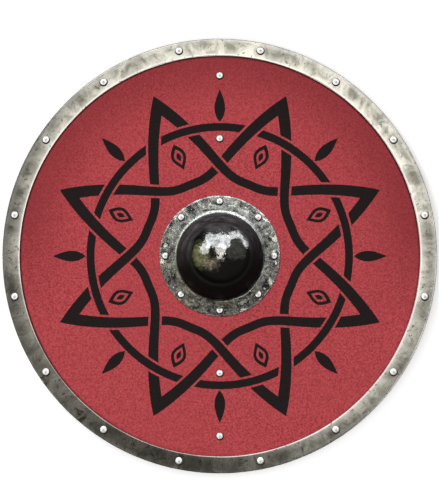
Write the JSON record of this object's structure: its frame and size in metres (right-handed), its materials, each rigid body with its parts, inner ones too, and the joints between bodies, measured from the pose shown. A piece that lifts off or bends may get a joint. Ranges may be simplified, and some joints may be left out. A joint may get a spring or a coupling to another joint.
{
  "type": "wooden round shield",
  "caption": "Round wooden centre-grip shield with a red canvas face, a riveted steel rim, a domed steel boss and a full-height wooden grip bar, lying face up.",
  "frame": {"origin": "on the floor under the middle of the grip bar's back face, centred under the boss", "axes": "+Z out of the shield's face through the boss, +Y along the grip bar towards the shield's top, +X to the right of someone who looks at the face"},
  "size_m": [0.61, 0.61, 0.0919],
  "materials": {
    "plywood": "matte",
    "grip_wood": "oiled",
    "red_canvas": "matte paint over a fine weave",
    "rim_steel": "aged, mottled",
    "boss_steel": "blackened and polished",
    "rivet_steel": "polished"
  },
  "bodies": {
    "root": {"board": "plywood", "facing": "red_canvas", "rim": "rim_steel", "boss": "boss_steel", "grip": "grip_wood", "boss_rivet_1": "rivet_steel", "boss_rivet_2": "rivet_steel", "boss_rivet_3": "rivet_steel", "boss_rivet_4": "rivet_steel", "boss_rivet_5": "rivet_steel", "boss_rivet_6": "rivet_steel", "boss_rivet_7": "rivet_steel", "boss_rivet_8": "rivet_steel", "grip_rivet_1": "rivet_steel", "grip_rivet_2": "rivet_steel", "grip_rivet_3": "rivet_steel", "grip_rivet_4": "rivet_steel", "rim_rivet_01": "rivet_steel", "rim_rivet_02": "rivet_steel", "rim_rivet_03": "rivet_steel", "rim_rivet_04": "rivet_steel", "rim_rivet_05": "rivet_steel", "rim_rivet_06": "rivet_steel", "rim_rivet_07": "rivet_steel", "rim_rivet_08": "rivet_steel", "rim_rivet_09": "rivet_steel", "rim_rivet_10": "rivet_steel", "rim_rivet_11": "rivet_steel", "rim_rivet_12": "rivet_steel", "rim_rivet_13": "rivet_steel", "rim_rivet_14": "rivet_steel", "rim_rivet_15": "rivet_steel", "rim_rivet_16": "rivet_steel"}
  },
  "joints": []
}
